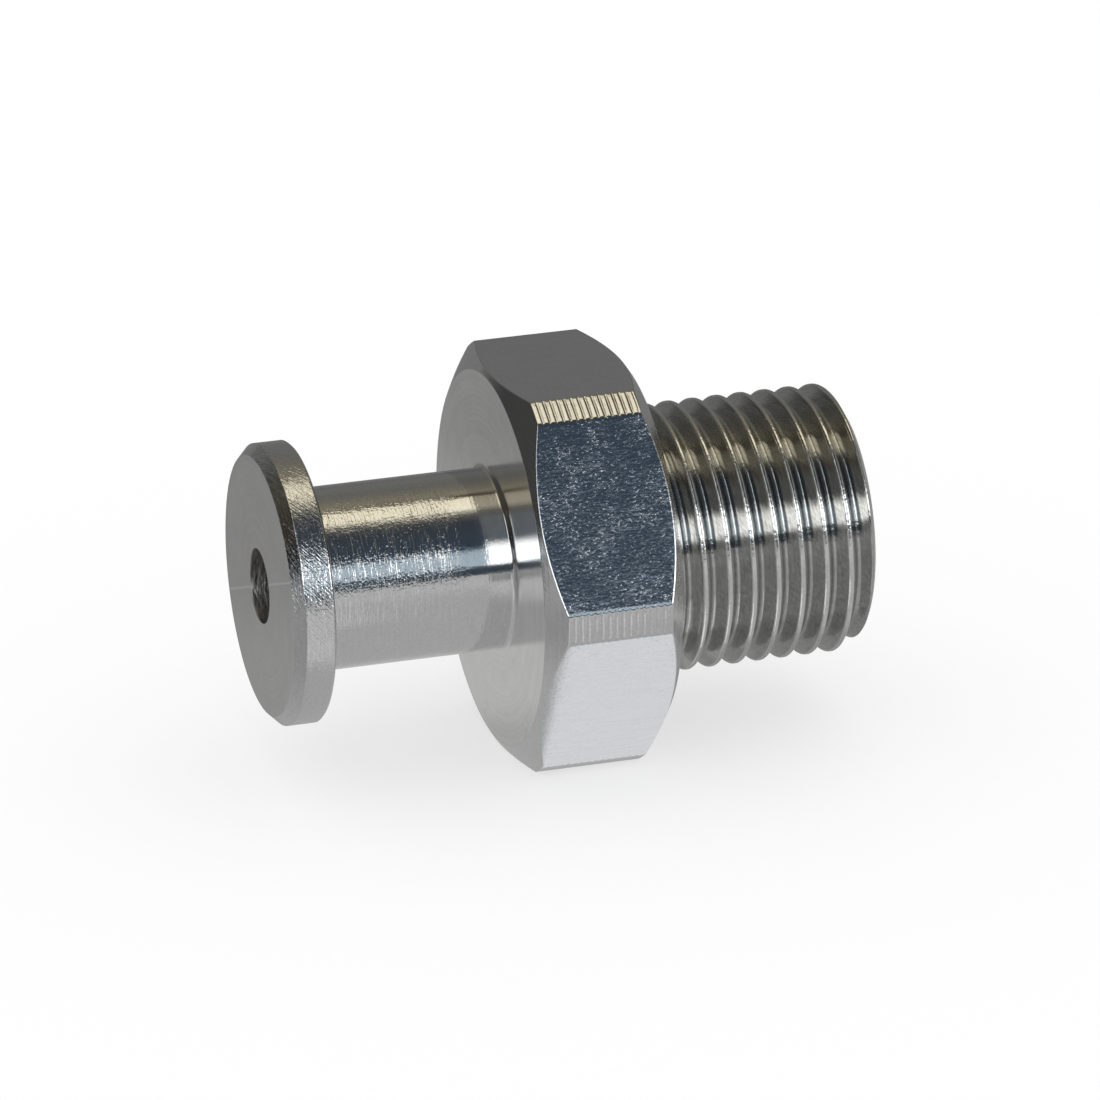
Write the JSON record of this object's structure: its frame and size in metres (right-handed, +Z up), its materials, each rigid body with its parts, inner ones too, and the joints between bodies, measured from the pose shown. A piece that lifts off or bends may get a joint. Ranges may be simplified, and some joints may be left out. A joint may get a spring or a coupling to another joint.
{
  "type": "suction cup fitting",
  "caption": "Turned metal fitting with a round head and neck that hold a suction cup, a hexagon and a male pipe thread, with an air passage right through.",
  "frame": {"origin": "on the fitting's shared axis, in the plane of the hexagon's rear face, which seats on the port", "axes": "+X along the axis towards the thread's end, -X towards the head that holds the cup, +Z up, square to the upper flat of the hexagon"},
  "size_m": [0.0216, 0.0156, 0.014],
  "materials": {
    "bright_aluminium": "bright turned and milled metal, clear of dirt, with fine tool marks"
  },
  "bodies": {
    "root": {"fitting_body": "bright_aluminium"}
  },
  "joints": []
}
